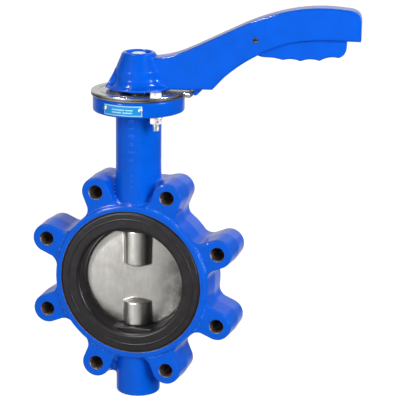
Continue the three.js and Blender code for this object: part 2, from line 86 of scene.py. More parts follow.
DISC = {"radius": 49.5, "half": 5, "rim_half": 2.2, "hub": 13.6, "hub_end": 45.9}
HUB_EDGE = {1: 13.3, -1: 23.6}  # how far from the centre each hub reaches full radius
HUB_RISE = 3
SOCKET = {"drive": 11.3, "depth": 22.6, "spare": 2.4, "round": 9.3, "round_top": 30}
STEM = {"radius": 9, "square": 14, "collar": 10.4, "collar_low": 161.5, "collar_high": 165}
PLATE = {"radius": 43.6, "low": 174, "high": 178, "hole": 12, "step": 36}
SEAM = {"azimuth": 225, "half_angle": 129, "low": 175.2, "high": 176.5, "depth": 1.5}
SECTOR = {"tip": 50.5, "root": 46.6, "notches": 10, "pitch": 10, "notch": 4.4, "margin": 4.2}
BOLT = {"radius": 3, "depth": 0.34, "pitch": 1, "flats": 10, "head": 4, "tip": 146.2, "nut": 5.2}
WASHER = {"radius": 6.2, "thickness": 1.2}
SCREW = {"radius": 4, "depth": 0.5, "pitch": 1.25, "flats": 12, "head": 4.6, "hole_low": 185.7}
LEVER = {"base": 180.3, "top": 213, "top_radius": 15, "waist_z": 197, "waist": 21.5, "seat": 205}
FOOT = {"radius": 29.6, "thickness": 2.4, "hollow": 26, "hollow_roof": 1.4}
HUB_HOLLOW = {"radius": 16, "roof": 10}
RIB_HALF = 8
RECESS = 11.5
ARM = {"half": 10.5, "wall": 2.8, "roof": 4, "length": 201.3}
CHANNEL = (45, 194.5)
PIVOT = {"along": 107, "z": 228.4, "hole": 2.7, "pin": 2.4, "pin_bore": 1.5}
LATCH = {"grip_half": 7, "bar_half": 5, "low": (50, -8, 174), "high": (189, 8, 240)}
SPRING = {"along": 136, "low": 237.7, "high": 248.8, "radius": 4, "wire": 0.7, "turns": 5}
NAMEPLATE = {"azimuth": 268, "gap": 0.3, "thickness": 0.8, "border": 0.9}
# The start and length of each bar of print in degrees, and its height from the middle
PRINT_BARS = ((-13, 16, 0.9), (4.5, 9, 0.9), (-13, 12, -1.6), (1, 12, -1.6))

# ---- Signed distance fields ----------------------------------------------------
# A field is negative inside its shape. Points come as three arrays x, y, z.


def both(a, b, edge=0.0):
    """Where a and b overlap, with the edge between them rounded to that radius."""
    over = np.hypot(np.maximum(a + edge, 0), np.maximum(b + edge, 0))
    return np.minimum(np.maximum(a, b), -edge) + over if edge else np.maximum(a, b)


def either(a, b, fillet=0.0):
    """a and b together, with a fillet of that radius in the corner between them."""
    under = np.hypot(np.maximum(fillet - a, 0), np.maximum(fillet - b, 0))
    return np.maximum(np.minimum(a, b), fillet) - under if fillet else np.minimum(a, b)


def less(a, b, edge=0.0):
    return both(a, -b, edge)


def between(value, low, high):
    return np.maximum(low - value, value - high)


def bezier(controls, amount):
    points = [np.array(point, float) for point in controls]
    while len(points) > 1:
        points = [p + (q - p) * amount for p, q in zip(points, points[1:])]
    return points[0]


def outline(start, *steps):
    """Corners along an outline. A step holds the control points of one stretch; a single one is a line."""
    divisions = 14
    points = [np.array(start, float)]
    for step in steps:
        controls = [points[-1], *step]
        count = divisions if len(step) > 1 else 1
        points += [bezier(controls, (i + 1) / count) for i in range(count)]
    return np.array(points)


class Flat:
    """The signed distance to a closed outline, tabled on a fine grid and read between its points."""

    def __init__(self, corners, reach=40, step=0.5):
        self.low = corners.min(axis=0) - reach
        self.step = step
        counts = np.ceil((corners.max(axis=0) + reach - self.low) / step).astype(int) + 2
        axes = [low + step * np.arange(count) for low, count in zip(self.low, counts)]
        u, w = np.meshgrid(*axes, indexing="ij")
        nearest = np.full(u.shape, np.inf)
        inside = np.zeros(u.shape, bool)
        for a, b in zip(corners, np.roll(corners, -1, axis=0)):
            along = b - a
            length = max(along @ along, 1e-12)
            share = np.clip(((u - a[0]) * along[0] + (w - a[1]) * along[1]) / length, 0, 1)
            gap = np.hypot(u - a[0] - share * along[0], w - a[1] - share * along[1])
            nearest = np.minimum(nearest, gap)
            if a[1] != b[1]:
                crosses = (a[1] > w) != (b[1] > w)
                inside ^= crosses & (u < along[0] * (w - a[1]) / along[1] + a[0])
        self.table = np.where(inside, -nearest, nearest)

    def __call__(self, u, w):
        places = [(v - low) / self.step for v, low in zip((u, w), self.low)]
        cells = [np.clip(p.astype(int), 0, n - 2) for p, n in zip(places, self.table.shape)]
        (i, j), (s, t) = cells, [np.clip(p - c, 0, 1) for p, c in zip(places, cells)]
        table = self.table
        near = table[i, j] * (1 - s) + table[i + 1, j] * s
        far = table[i, j + 1] * (1 - s) + table[i + 1, j + 1] * s
        return near * (1 - t) + far * t


CORNERS = np.array([(i, j, k) for i in (0, 1) for j in (0, 1) for k in (0, 1)])
CELL_EDGES = [
    (a, b) for a in range(8) for b in range(a + 1, 8) if abs(CORNERS[a] - CORNERS[b]).sum() == 1
]


def net(field, low, high, step):
    """Corners and quads of a closed surface on a field's zero level: one corner in each cell it crosses."""
    axes = [np.arange(a - 2 * step, b + 3 * step, step) for a, b in zip(low, high)]
    value = field(*np.meshgrid(*axes, indexing="ij"))
    inside = value < 0
    size = [n - 1 for n in value.shape]
    corner = [inside[i : size[0] + i, j : size[1] + j, k : size[2] + k] for i, j, k in CORNERS]
    count = sum(c.astype(np.int8) for c in corner)
    cells = np.argwhere((count > 0) & (count < 8))
    number = np.full(size, -1)
    number[tuple(cells.T)] = np.arange(len(cells))
    levels = [value[tuple((cells + offset).T)] for offset in CORNERS]
    total, hits = np.zeros((len(cells), 3)), np.zeros(len(cells))
    for a, b in CELL_EDGES:
        crossed = (levels[a] < 0) != (levels[b] < 0)
        share = np.where(crossed, levels[a] / np.where(crossed, levels[a] - levels[b], 1), 0)
        total += np.where(crossed[:, None], CORNERS[a] + share[:, None] * (CORNERS[b] - CORNERS[a]), 0)
        hits += crossed
    start = np.array([axis[0] for axis in axes])
    points = start + step * (cells + total / hits[:, None])
    return onto(field, points, step), quads_between(inside, number)


def quads_between(inside, number):
    """A quad round each grid edge whose ends lie on different sides of the surface."""
    quads = []
    for axis in range(3):
        u, v = (axis + 1) % 3, (axis + 2) % 3
        low = [slice(1, -1)] * 3
        high = list(low)
        low[axis], high[axis] = slice(0, -1), slice(1, None)
        first, second = inside[tuple(low)], inside[tuple(high)]
        for leaving, order in ((True, (0, 1, 2, 3)), (False, (3, 2, 1, 0))):
            edges = np.argwhere((first != second) & (first == leaving))
            edges[:, [u, v]] += 1
            ring = []
            for du, dv in ((0, 0), (-1, 0), (-1, -1), (0, -1)):
                cell = edges.copy()
                cell[:, u] += du
                cell[:, v] += dv
                ring.append(number[tuple(cell.T)])
            quads.append(np.stack([ring[i] for i in order], axis=1))
    return np.concatenate(quads)


def onto(field, points, reach, rounds=4, probe=0.02):
    """Moves points onto the surface along the field's slope, none further than reach."""
    moved = points.copy()
    for _ in range(rounds):
        level = field(*moved.T)
        slope = np.stack([
            (field(*(moved + probe * unit).T) - field(*(moved - probe * unit).T)) / (2 * probe)
            for unit in np.eye(3)
        ], axis=1)
        steep = np.maximum((slope**2).sum(axis=1), 0.25)
        moved -= slope * (level / steep)[:, None]
        drift = moved - points
        far = np.linalg.norm(drift, axis=1)
        moved = points + drift * np.minimum(1, reach / np.maximum(far, 1e-9))[:, None]
    return moved


# ---- Meshes --------------------------------------------------------------------


def mesh_object(name, points, faces, looks, sharp=40):
    """An object from millimetre corners, its faces turned outward and shaded smooth up to an angle."""
    mesh = bpy.data.meshes.new(name)
    corners = [tuple(p) for p in np.asarray(points, float) * MM]
    mesh.from_pydata(corners, [], [tuple(map(int, f)) for f in faces])
    shape = bmesh.new()
    shape.from_mesh(mesh)
    bmesh.ops.remove_doubles(shape, verts=shape.verts, dist=1e-7)
    bmesh.ops.dissolve_degenerate(shape, edges=shape.edges, dist=1e-8)
    bmesh.ops.recalc_face_normals(shape, faces=shape.faces)
    shape.to_mesh(mesh)
    shape.free()
    obj = bpy.data.objects.new(name, mesh)
    bpy.context.collection.objects.link(obj)
    for look in looks:
        mesh.materials.append(look)
    smooth(obj, sharp)
    return obj


def casting(name, field, low, high, step, looks):
    """The mesh of a cast piece, from its field."""
    points, quads = net(field, low, high, step)
    return mesh_object(name, points, quads, looks, sharp=60)


def smooth(obj, sharp):
    obj.data.shade_smooth()
    obj.data.set_sharp_from_angle(angle=radians(sharp))


def placed(obj, matrix):
    obj.data.transform(matrix)
    return obj


UPRIGHT = Matrix.Rotation(radians(90), 4, "X")


def turn_z(angle):
    return Matrix.Rotation(angle, 4, "Z")


def shift(x=0, y=0, z=0):
    return Matrix.Translation(Vector((x, y, z)) * MM)


def settle(obj, sharp):
    """Makes an object's modifiers part of its mesh."""
    graph = bpy.context.evaluated_depsgraph_get()
    result = bpy.data.meshes.new_from_object(obj.evaluated_get(graph))
    obj.modifiers.clear()
    obj.data = result
    smooth(obj, sharp)


def carve(obj, cutter, operation="DIFFERENCE", sharp=40):
    """Cuts or adds a closed shape, whose faces keep its own material."""
    step = obj.modifiers.new("carve", "BOOLEAN")
    step.object, step.operation = cutter, operation
    step.solver, step.material_mode = "MANIFOLD", "TRANSFER"
    settle(obj, sharp)
    bpy.data.objects.remove(cutter)
    return obj


def rounded(corners, radius, steps=3):
    """A closed outline with every corner rounded, as far as its sides leave room."""
    points = [Vector(c) for c in corners]
    flattest = radians(8)
    result = []
    for before, here, after in zip(points[-1:] + points[:-1], points, points[1:] + points[:1]):
        to_last, to_next = (before - here), (after - here)
        turn = pi - to_last.angle(to_next)
        if turn < flattest:
            result.append(here)
            continue
        back = min(radius * tan(turn / 2), 0.45 * to_last.length, 0.45 * to_next.length)
        first = here + to_last.normalized() * back
        last = here + to_next.normalized() * back
        for i in range(steps + 1):
            share = i / steps
            result.append(first * (1 - share) ** 2 + here * (2 * share * (1 - share)) + last * share**2)
    return [tuple(p) for p in result]


def lathe(name, profile, looks, axis="Z", segments=96, sharp=40):
    """A closed profile of (radius, height) corners turned about an axis."""
    angles = np.linspace(0, 2 * pi, segments, endpoint=False)
    points = []
    for angle in angles:
        c, s = cos(angle), sin(angle)
        for radius, height in profile:
            spot = (radius * c, radius * s, height)
            points.append(spot if axis == "Z" else (spot[0], spot[2], spot[1]))
    count = len(profile)
    faces = []
    for i in range(segments):
        ring, following = i * count, ((i + 1) % segments) * count
        for j in range(count):
            k = (j + 1) % count
            if profile[j][0] == 0 and profile[k][0] == 0:
                continue
            faces.append((ring + j, following + j, following + k, ring + k))
    return mesh_object(name, points, faces, looks, sharp)


def prism(name, corners, low, high, looks, edge=0.0, steps=2, sharp=40):
    """An outline in the XY plane raised between two heights, its edges rounded."""
    count = len(corners)
    points = [(x, y, z) for z in (low, high) for x, y in corners]
    faces = [tuple(range(count))[::-1], tuple(range(count, 2 * count))]
    faces += [(i, (i + 1) % count, (i + 1) % count + count, i + count) for i in range(count)]
    obj = mesh_object(name, points, faces, looks, sharp)
    if edge:
        soften(obj, edge, steps, sharp)
    return obj


def soften(obj, edge, steps, sharp):
    """Rounds an object's sharp edges."""
    step = obj.modifiers.new("edges", "BEVEL")
    step.width, step.segments, step.limit_method = edge * MM, steps, "ANGLE"
    step.angle_limit = radians(30)
    step.use_clamp_overlap = True
    settle(obj, sharp)


def post(radius, low, high, looks, segments=64):
    return lathe("post", [(0, low), (radius, low), (radius, high), (0, high)], looks, segments=segments)


def box(width, depth, low, high, looks):
    x, y = width / 2, depth / 2
    return prism("box", rectangle((-x, -y), (x, y)), low, high, looks)


def polar(radius, angle):
    """The x and y of a point on a circle, its angle in degrees."""
    return (radius * cos(radians(angle)), radius * sin(radians(angle)))


def hexagon(flats):
    return [polar(flats / sqrt(3), 60 * i) for i in range(6)]


def rectangle(low, high):
    """The corners of an outline that runs between two opposite corners."""
    return [low, (high[0], low[1]), high, (low[0], high[1])]


def arc(centre, size, angles):
    """Points on an ellipse at a row of angles in radians."""
    return [(centre[0] + size[0] * cos(a), centre[1] + size[1] * sin(a)) for a in angles]


def band(inner, outer, angles):
    """The outline of the part of a ring that a row of angles sweeps over."""
    return arc((0, 0), (outer, outer), angles) + arc((0, 0), (inner, inner), angles[::-1])


def thread(name, size, low, high, looks, segments=40, rows=5, lead=1.0):
    """A closed screw surface: a helical V that fades over a lead-in at each end."""
    outer, depth, pitch = size["radius"], size["depth"], size["pitch"]
    heights = np.arange(low, high + 1e-6, pitch / rows)
    angles = np.linspace(0, 2 * pi, segments, endpoint=False)
    turn, height = np.meshgrid(angles, heights, indexing="ij")
    phase = (height / pitch - turn / (2 * pi)) % 1
    fade = np.clip(np.minimum(height - low, heights[-1] - height) / lead, 0, 1)
    steepness, crest = 1.3, 0.15
    valley = np.clip(2 * np.abs(phase - 0.5) * steepness - crest, 0, 1)
    radius = outer - depth * np.maximum(valley, 1 - fade)
    grid = np.stack([radius * np.cos(turn), radius * np.sin(turn), height], axis=2)
    count = len(heights)
    points = [tuple(p) for p in grid.reshape(-1, 3)] + [(0, 0, low), (0, 0, heights[-1])]
    foot, tip = len(points) - 2, len(points) - 1
    faces = []
    for i in range(segments):
        ring, following = i * count, ((i + 1) % segments) * count
        faces += [(ring + j, following + j, following + j + 1, ring + j + 1) for j in range(count - 1)]
        faces += [(foot, following, ring), (tip, ring + count - 1, following + count - 1)]
    return mesh_object(name, points, faces, looks, sharp=50)


def node_box(node):
    """A CAD node's lowest and highest corner, in millimetres."""
    return [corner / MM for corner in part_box(node)]


def finished(obj, body, node):
    """Puts a piece on its body, evens the shading of its flat faces and lets it stand for its CAD node."""
    even = obj.modifiers.new("flat_faces_shade_flat", "WEIGHTED_NORMAL")
    even.keep_sharp, even.weight = True, 80
    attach(obj, body)
    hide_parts(node)


# ---- Materials -----------------------------------------------------------------


def rgba(colour):
    return (*colour, 1) if isinstance(colour, tuple) else colour


class Nodes:
    """The node tree of a material or world under construction."""

    def __init__(self, owner):
        owner.use_nodes = True
        self.tree = owner.node_tree

    def node(self, kind, **settings):
        made = self.tree.nodes.new(kind)
        for key, value in settings.items():
            setattr(made, key, value)
        return made

    def feed(self, socket, value):
        if isinstance(value, bpy.types.NodeSocket):
            self.tree.links.new(value, socket)
        else:
            socket.default_value = value

    def plus(self, a, b, operation="ADD"):
        made = self.node("ShaderNodeMath", operation=operation)
        self.feed(made.inputs[0], a)
        self.feed(made.inputs[1], b)
        return made.outputs[0]

    def times(self, a, b):
        return self.plus(a, b, "MULTIPLY")

    def spread(self, value, low, high, floor=0.3, ceiling=0.7, **settings):
        """A value that runs from floor to ceiling, brought to low to high."""
        made = self.node("ShaderNodeMapRange", **settings)
        for socket, number in zip(made.inputs[:5], (value, floor, ceiling, low, high)):
            self.feed(socket, number)
        return made.outputs[0]


class Shader(Nodes):
    """A material under construction, with short calls for the nodes that it needs."""

    def __init__(self, name):
        self.material = bpy.data.materials.new(name)
        super().__init__(self.material)
        self.surface = self.tree.nodes["Principled BSDF"]
        self.place = self.node("ShaderNodeTexCoord").outputs["Object"]

    def stretched(self, x, y, z):
        mapping = self.node("ShaderNodeMapping")
        self.feed(mapping.inputs["Vector"], self.place)
        self.feed(mapping.inputs["Scale"], (x, y, z))
        return mapping.outputs["Vector"]

    def noise(self, size, detail=3.0, rough=0.5, vector=None):
        """Soft noise whose features are about size millimetres across."""
        made = self.node("ShaderNodeTexNoise")
        self.feed(made.inputs["Vector"], vector or self.place)
        self.feed(made.inputs["Scale"], 1 / (size * MM))
        self.feed(made.inputs["Detail"], detail)
        self.feed(made.inputs["Roughness"], rough)
        return made.outputs["Fac"]

    def cells(self, size):
        made = self.node("ShaderNodeTexVoronoi")
        self.feed(made.inputs["Vector"], self.place)
        self.feed(made.inputs["Scale"], 1 / (size * MM))
        return made.outputs["Distance"]

    def mix(self, share, a, b):
        made = self.node("ShaderNodeMix", data_type="RGBA")
        self.feed(made.inputs["Factor"], share)
        sockets = [s for s in made.inputs if s.type == "RGBA"]
        for socket, value in zip(sockets, (a, b)):
            self.feed(socket, rgba(value))
        return next(s for s in made.outputs if s.type == "RGBA")

    def by_curve(self, *stops):
        """A value that follows how far the surface bulges, from one (bulge, value) stop to the other."""
        made = self.node("ShaderNodeValToRGB")
        self.feed(made.inputs["Fac"], self.node("ShaderNodeNewGeometry").outputs["Pointiness"])
        for point, (bulge, value) in zip(made.color_ramp.elements, stops):
            point.position = bulge
            point.color = (value, value, value, 1)
        return made.outputs["Color"]

    def edges(self, low=0.52, high=0.62):
        """Nearly one on outer edges and nought elsewhere."""
        return self.by_curve((low, 0), (high, 1))

    def creases(self):
        """Nearly one in inner corners and nought elsewhere."""
        return self.by_curve((0.42, 1), (0.482, 0))

    def bump(self, height, depth, under=None):
        made = self.node("ShaderNodeBump")
        self.feed(made.inputs["Distance"], depth * MM)
        self.feed(made.inputs["Height"], height)
        if under:
            self.feed(made.inputs["Normal"], under)
        return made.outputs["Normal"]

    def finish(self, colour, roughness, values, normal=None):
        """Wires up the surface. The values go to the inputs that they are named after."""
        self.feed(self.surface.inputs["Base Color"], rgba(colour))
        self.feed(self.surface.inputs["Roughness"], roughness)
        for name, value in values.items():
            self.surface.inputs[name].default_value = value
        if normal:
            self.feed(self.surface.inputs["Normal"], normal)
        return self.material


METAL = {"Metallic": 1.0}


def paint(name, base, cast):
    """Glossy blue epoxy over cast iron: orange peel, the casting's grain beneath, a lighter blue on outer
    edges, and painted glints: pale specks in inner corners for highlights along the creases.
    """
    s = Shader(name)
    deep = tuple(0.86 * c for c in base)
    light = (base[0] + 0.004, min(base[1] * 1.12, 1), min(base[2] * 1.06, 1))
    tone = s.mix(s.spread(s.noise(14, 4), 0, 1), deep, base)
    tone = s.mix(s.spread(s.noise(2.2, 2), 0, 0.35), tone, light)
    edge_blue, glint_blue = (0.03, 0.2, 0.9), (0.35, 0.68, 1.0)
    tone = s.mix(s.times(s.edges(), 0.35), tone, edge_blue)
    # Painted glints: pale blue specks along inner corners stand in for highlights caught on the creases.
    crease_glints = s.times(s.creases(), s.spread(s.noise(1.6, 3, 0.7), 0, 1, 0.5, 0.6))
    tone = s.mix(s.times(crease_glints, 0.8), tone, glint_blue)
    rough = s.plus(s.spread(s.noise(6, 3), 0.16, 0.26), s.spread(s.noise(0.8, 2), -0.02, 0.03))
    grain = s.bump(s.noise(5.5, 4, 0.55), cast * 3)
    peel = s.bump(s.noise(1.3, 1), cast * 0.35, grain)
    gloss = {"Specular IOR Level": 0.02, "Coat Weight": 1.0, "Coat IOR": 1.18, "Coat Roughness": 0.06}
    return s.finish(tone, rough, gloss, peel)


def bare_iron():
    """Machined holes left unpainted: dark iron with rust and cutting oil."""
    s = Shader("bare_iron")
    dark, rusty, bright = (0.05, 0.045, 0.045), (0.17, 0.1, 0.065), (0.33, 0.31, 0.29)
    tone = s.mix(s.spread(s.noise(3, 5, 0.6), 0, 1, 0.42, 0.62), dark, rusty)
    tone = s.mix(s.spread(s.noise(1.1, 3), 0, 0.4), tone, bright)
    rough = s.spread(s.noise(2, 3), 0.38, 0.7)
    return s.finish(tone, rough, {"Metallic": 0.65}, s.bump(s.noise(0.7, 4), 0.05))


def rubber():
    """Moulded EPDM: near black, faint bloom, fine grain."""
    s = Shader("rubber")
    black, bloom, worn = (0.006, 0.005, 0.006), (0.014, 0.011, 0.014), (0.05, 0.05, 0.055)
    tone = s.mix(s.spread(s.noise(9, 4), 0, 1), black, bloom)
    tone = s.mix(s.times(s.edges(0.51, 0.6), 0.5), tone, worn)
    grain = s.bump(s.noise(0.5, 2), 0.012, s.bump(s.noise(4, 3), 0.06))
    return s.finish(tone, s.spread(s.noise(5, 3), 0.34, 0.46), {"Specular IOR Level": 0.25}, grain)


def satin_steel(name, tone, rough, relief=1.0, painted_shade=0.0):
    """Blasted and lightly brushed steel with marks from handling, and, if asked, painted shade in blotches
    growing darker towards +X.
    """
    s = Shader(name)
    dim, brushed_tone, shade_tone = tuple(0.8 * c for c in tone), (0.75, 0.74, 0.72), (0.1, 0.095, 0.085)
    colour = s.mix(s.spread(s.noise(12, 5, 0.6), 0, 1), dim, tone)
    brushed = s.noise(1.2, 4, 0.6, s.stretched(1, 1, 0.08))
    colour = s.mix(s.spread(brushed, 0, 0.25), colour, brushed_tone)
    if painted_shade:
        # Painted shade: the +X side is darkened in blotches for the shade and dark reflection of the liner's
        # bore there.
        across = s.node("ShaderNodeSeparateXYZ")
        s.feed(across.inputs[0], s.place)
        side = s.spread(across.outputs["X"], 0, painted_shade, 12 * MM, 42 * MM)
        blotches = s.spread(s.noise(14, 4, 0.6), 0.55, 1, 0.42, 0.58)
        colour = s.mix(s.times(side, blotches), colour, shade_tone)
    roughness = s.plus(s.spread(s.noise(7, 4), *rough), s.spread(brushed, -0.03, 0.03))
    surface = s.bump(brushed, 0.012 * relief, s.bump(s.noise(3.5, 3), 0.05 * relief))
    return s.finish(colour, roughness, METAL, surface)


def zinc(name, tone, rough, relief=1.0):
    """Bright zinc plate: crystalline patches, hazy passivation and fine scuffs."""
    s = Shader(name)
    dim, hazy = tuple(0.9 * c for c in tone), (0.6, 0.58, 0.5)
    colour = s.mix(s.spread(s.cells(2.4), 0, 1, 0.1, 0.7), dim, tone)
    colour = s.mix(s.spread(s.noise(5, 4), 0, 0.3), colour, hazy)
    scuffs = s.noise(2, 5, 0.7, s.stretched(1, 0.15, 1))
    roughness = s.plus(s.spread(s.noise(3, 4), *rough), s.spread(scuffs, -0.03, 0.06))
    surface = s.bump(scuffs, 0.01 * relief, s.bump(s.noise(3, 2), 0.015 * relief))
    return s.finish(colour, roughness, METAL, surface)


def bronze():
    s = Shader("bronze")
    dull, warm = (0.36, 0.2, 0.07), (0.52, 0.32, 0.13)
    colour = s.mix(s.spread(s.noise(3, 4), 0, 1), dull, warm)
    rough = s.spread(s.noise(1.5, 3), 0.3, 0.5)
    return s.finish(colour, rough, METAL, s.bump(s.noise(0.6, 3), 0.01))


def label_film(name, colour):
    """Printed foil: even colour with faint streaks from the print."""
    s = Shader(name)
    streaks = s.noise(1.6, 3, 0.5, s.stretched(0.3, 0.3, 2))
    paler = tuple(min(1, 1.25 * c + 0.02) for c in colour)
    tone = s.mix(s.spread(streaks, 0, 0.25), colour, paler)
    rough = s.spread(s.noise(3, 3), 0.3, 0.45)
    return s.finish(tone, rough, {"Specular IOR Level": 0.2}, s.bump(s.noise(2, 2), 0.01))


BODY_BLUE = (0.0, 0.107, 0.7)
LEVER_BLUE = (0.0, 0.108, 0.73)
body_paint = paint("body_paint", BODY_BLUE, cast=0.06)
lever_paint = paint("lever_paint", LEVER_BLUE, cast=0.025)
latch_paint = paint("latch_paint", LEVER_BLUE, cast=0.02)
iron = bare_iron()
seat_rubber = rubber()
disc_steel = satin_steel("disc_steel", (0.6, 0.58, 0.545), (0.28, 0.36), relief=0.25, painted_shade=0.95)
stem_steel = satin_steel("stem_steel", (0.6, 0.59, 0.57), (0.25, 0.35))
plate_steel = zinc("plate_steel", (0.38, 0.376, 0.365), (0.14, 0.24), relief=0.15)
zinc_plate = zinc("zinc_plate", (0.74, 0.74, 0.75), (0.24, 0.36))
spring_steel = satin_steel("spring_steel", (0.025, 0.025, 0.028), (0.45, 0.6))
bush_bronze = bronze()
label_blue = label_film("label_blue", (0.0, 0.28, 0.72))
label_pale = label_film("label_pale", (0.35, 0.72, 0.88))

# ---- Valve body ----------------------------------------------------------------


def body_field(x, y, z):
    """The ring, eight lugs, neck, flange and boss as one casting with its fillets."""
    radius, stem_radius = np.hypot(x, z), np.hypot(x, y)
    spacing = pi / 4
    around = np.arctan2(x, z) % spacing - spacing / 2
    across, out = radius * np.sin(around), radius * np.cos(around)
    head = np.hypot(across, out - np.clip(out, LUG["root"], LUG["circle"])) - LUG["radius"]
    lean = DRAFT * np.minimum(np.abs(y) / LUG["half"], 1) - DRAFT
    ring = radius - RING["radius"] + DRAFT
    web = both(either(ring, head, fillet=LUG["fillet"]) + lean, np.abs(y) - LUG["half"], edge=1.5)
    face = both(ring + RING["face_step"], np.abs(y) - RING["half"], edge=1.2)
    whole = either(web, face, fillet=0.7)
    saddle = both(np.abs(x) - SHOULDER["half_width"], between(np.abs(z), NECK["low"], SHOULDER["reach"]))
    saddle = both(saddle, between(y, SHOULDER["front"], SHOULDER["back"]), edge=2.5)
    whole = either(whole, saddle, fillet=2.5)
    flare = FLARE["by"] * np.clip((FLARE["top"] - z) / FLARE["height"], 0, 1) ** 1.5
    neck = both(stem_radius - NECK["radius"] - flare, between(z, NECK["low"], FLANGE["high"] - 3))
    flange = both(stem_radius - FLANGE["radius"], between(z, FLANGE["low"], FLANGE["high"]), edge=1.6)
    neck = either(neck, flange, fillet=3.5)
    boss = both(stem_radius - BOSS["radius"], between(z, BOSS["low"], -NECK["low"]), edge=2.4)
    return either(either(whole, neck, fillet=1.6), boss, fillet=2.5)


def reflected(half):
    """The other half of a profile, in the order that closes it."""
    return [(radius, -along) for radius, along in half][::-1]


def liner_pocket():
    gap = 0.3
    back, lip, floor = LINER["back"] + gap, LINER["lip"] + gap, LINER["lip_back"] - gap
    # The chamfer round the pocket's mouth takes bare iron and shows as a dark ring round the liner: partly
    # the unpainted machined edge, partly painted shade for the shadow in the gap.
    face, far, chamfer = RING["half"], 40, 0.7
    half = [(back, floor), (lip, floor), (lip, face - chamfer)]
    half += [(lip + chamfer, face), (lip + chamfer, far), (0, far)]
    return lathe("pocket", reflected(half) + half, [iron], axis="Y", segments=192)


def stem_bores():
    """The bore up to the flange with its clip groove, and the bore down to the plug."""
    top, bottom = FLANGE["high"] + 1, BOSS["low"] - 1
    groove, plug = CLIP_GROOVE, PLUG_BORE
    upper = [(0, 0), (STEM_BORE, 0), (STEM_BORE, groove["low"]), (groove["radius"], groove["low"])]
    upper += [(groove["radius"], groove["high"]), (STEM_BORE, groove["high"]), (STEM_BORE, top), (0, top)]
    lower = [(0, bottom), (plug["radius"], bottom), (plug["radius"], plug["top"])]
    lower += [(STEM_BORE, plug["top"]), (STEM_BORE, 0), (0, 0)]
    return [lathe("stem_bore", profile, [iron], segments=64) for profile in (upper, lower)]


def lug_taps():
    """Threaded through holes."""
    reach = LUG["half"] + 1.5
    for index in range(8):
        tap = thread("tap", TAP, -reach, reach, [iron], segments=32, lead=0.1)
        angle = pi / 4 * (index + 0.5)
        spot = shift(LUG["circle"] * sin(angle), 0, LUG["circle"] * cos(angle))
        yield placed(tap, spot @ UPRIGHT)


def flange_holes():
    for index in range(4):
        hole = post(FLANGE["hole"], FLANGE["low"] - 3, FLANGE["high"] + 1, [iron], segments=40)
        yield placed(hole, shift(*polar(FLANGE["circle"], 45 + 90 * index)))


def cast_marks():
    """Plain raised bars and dots on the neck's front, in place of foundry lettering."""
    tall, depth, inside = 2.0, 0.8, 1.5
    bars = [(153 - 7.4 * i, 5.2 if i % 2 else 7.2) for i in range(6)]
    dots = [(101 - 5 * i, 2.0) for i in range(3)]
    for height, width in bars + dots:
        corners = rectangle((-width / 2, -tall / 2), (width / 2, tall / 2))
        mark = prism("mark", rounded(corners, 0.9), -inside, depth, [body_paint], edge=0.35)
        yield placed(mark, shift(0, -NECK["radius"] + 0.05, height) @ UPRIGHT)


def body_casting():
    reach = LUG["circle"] + LUG["radius"]
    low, high = (-reach, -FLANGE["radius"], BOSS["low"]), (reach, FLANGE["radius"], FLANGE["high"])
    body = casting("valve_body_casting", body_field, low, high, 1.3, [body_paint, iron])
    for mark in cast_marks():
        carve(body, mark, "UNION")
    for cutter in [liner_pocket(), *stem_bores(), *lug_taps(), *flange_holes()]:
        carve(body, cutter, sharp=46)
    finished(body, "valve_body", "body_casting")


def seat_liner():
    """Moulded seat: rolled lips, a bead round each sealing face and a soft rolled edge into the bore."""
    lip, back, sunk = LINER["lip"], LINER["lip_back"], LINER["face"] - BEAD["height"]
    mouth, roll, flat_start = LINER["mouth"], LINER["roll"], 57.8
    corner = arc((BORE + 0.1 + mouth, sunk - mouth), (-mouth, mouth), np.linspace(0, pi / 2, 12))
    bead = arc((BEAD["radius"], sunk), (BEAD["half"], BEAD["height"]), np.linspace(pi, 0, 9))
    rim = arc((lip - roll, sunk - roll), (roll, roll), np.linspace(pi / 2, 0, 6))
    half = [(BORE, 0), (BORE, LINER["straight"]), *corner, (flat_start, sunk), *bead, *rim]
    half += [(lip, back), (LINER["back"], back)]
    profile = half + reflected(half[1:])
    liner = lathe("seat_liner_rubber", profile, [seat_rubber], axis="Y", segments=192, sharp=50)
    wide, long = STEM_LAND["half_width"], STEM_LAND["half_length"]
    corners = rounded(rectangle((-wide, -long), (wide, long)), 3, steps=5)
    for side in (1, -1):
        low, high = sorted((side * STEM_LAND["level"], side * STEM_LAND["root"]))
        land = prism("land", corners, low, high, [seat_rubber], edge=1.2, steps=3)
        carve(liner, land, "UNION", sharp=50)
    hole = post(SOCKET["round"], -LINER["back"] - 2, LINER["back"] + 2, [seat_rubber], segments=48)
    finished(carve(liner, hole, sharp=50), "valve_body", "seat_liner")


# ---- Stem parts ----------------------------------------------------------------


def ring_piece(node, look, bore=STEM["radius"] + 0.1, edge=0.3):
    """A turned collar that fills its CAD node's box, with a bore."""
    low, high = node_box(node)
    corners = rounded(rectangle((bore, low.z), (high.x, high.z)), edge)
    finished(lathe(f"{node}_ring", corners, [look], segments=64), "valve_body", node)


def stem_collars():
    for place in ("lower_neck", "middle_neck", "upper_neck", "bottom"):
        ring_piece(f"{place}_bush", bush_bronze)
    for place in ("lower", "upper"):
        ring_piece(f"stem_seal_{place}", seat_rubber, edge=0.9)
    ring_piece("thrust_washer", bush_bronze, bore=STEM["radius"] + 0.3)
    ring_piece("plug_gasket", seat_rubber, bore=6)


def retaining_ring():
    """An open ring in the neck's groove, its gap to the front."""
    low, high = node_box("retaining_ring")
    inner, outer, gap = STEM["radius"] + 0.6, 12, radians(22)
    front = -pi / 2
    corners = band(inner, outer, np.linspace(front + gap, front + 2 * pi - gap, 56))
    ring = prism("retaining_ring_spring", corners, low.z, high.z, [spring_steel], edge=0.15)
    finished(ring, "valve_body", "retaining_ring")


